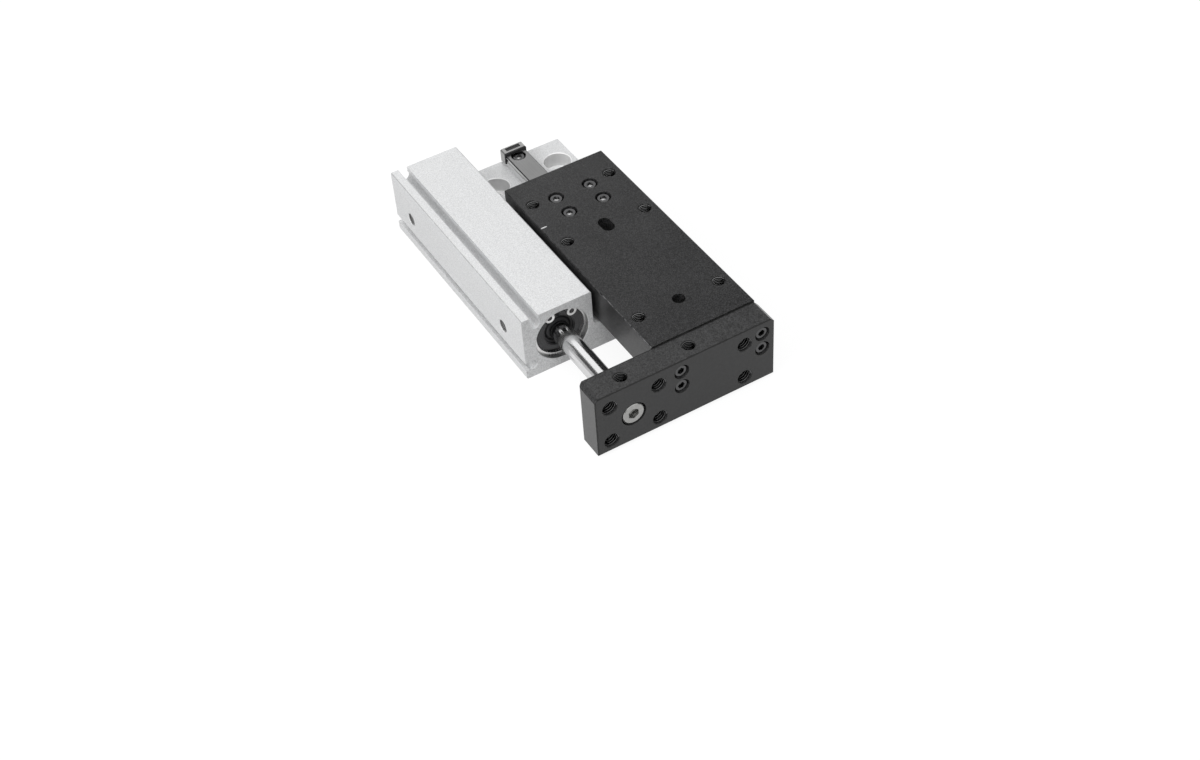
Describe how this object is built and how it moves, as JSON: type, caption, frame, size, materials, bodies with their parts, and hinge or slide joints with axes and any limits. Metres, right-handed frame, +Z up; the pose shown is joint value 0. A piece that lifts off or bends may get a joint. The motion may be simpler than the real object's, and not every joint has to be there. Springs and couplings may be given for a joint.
{
  "type": "pneumatic slide cylinder",
  "caption": "Air cylinder and ball-guided slide table side by side on an L-shaped aluminium body, joined by a drilled front plate.",
  "frame": {"origin": "middle of the four base screw holes, on the body's flat underside: half way along the body, on the centre line of the guide rail", "axes": "+Y along the stroke, away from the front plate, so the rod comes out towards -Y; +X from the cylinder towards the guide rail; +Z up from the underside"},
  "size_m": [0.0754, 0.1533, 0.0296],
  "materials": {
    "clear_anodised": "clear hard anodised, fine satin grain",
    "black_anodised": "black anodised, fine blasted grain",
    "dark_anodised": "dark anodised, turned",
    "plain_aluminium": "turned",
    "ground_steel": "hardened and ground",
    "spring_steel": "stamped, bright",
    "black_steel": "black oxide",
    "plated_steel": "bright plated",
    "rod_chrome": "hard chromed and ground",
    "ball_steel": "polished bearing steel",
    "bronze": "sintered bronze",
    "magnet_ferrite": "sintered",
    "wear_plastic": "filled plastic strip",
    "cap_plastic": "moulded",
    "seal_rubber": "moulded nitrile"
  },
  "bodies": {
    "body": {"cylinder_body": "clear_anodised", "rod_gland": "dark_anodised", "gland_bush": "bronze", "gland_o_ring": "seal_rubber", "rod_seal": "seal_rubber", "front_retaining_ring": "spring_steel", "front_bumper": "seal_rubber", "rear_cap": "dark_anodised", "rear_cap_o_ring": "seal_rubber", "rear_retaining_ring": "spring_steel", "rear_bumper": "seal_rubber", "guide_rail": "ground_steel", "rail_screws": "black_steel", "rail_stop": "spring_steel", "rail_stop_pad": "seal_rubber"},
    "slide": {"piston_rod": "rod_chrome", "piston_front_half": "plain_aluminium", "piston_rear_half": "plain_aluminium", "piston_seals": "seal_rubber", "piston_wear_ring": "wear_plastic", "piston_magnet": "magnet_ferrite", "piston_nut": "plated_steel", "carriage_block": "ground_steel", "carriage_end_caps": "cap_plastic", "carriage_end_seals": "seal_rubber", "carriage_end_screws": "plated_steel", "carriage_balls": "ball_steel", "slide_table": "black_anodised", "carriage_screws": "black_steel", "front_plate": "black_anodised", "plate_screws": "black_steel", "rod_screw": "plated_steel"}
  },
  "joints": [
    {"name": "table_slide", "type": "slide", "parent": "body", "child": "slide", "axis": [0, -1, 0], "range_m": [-0.0378, 0.0122]}
  ]
}
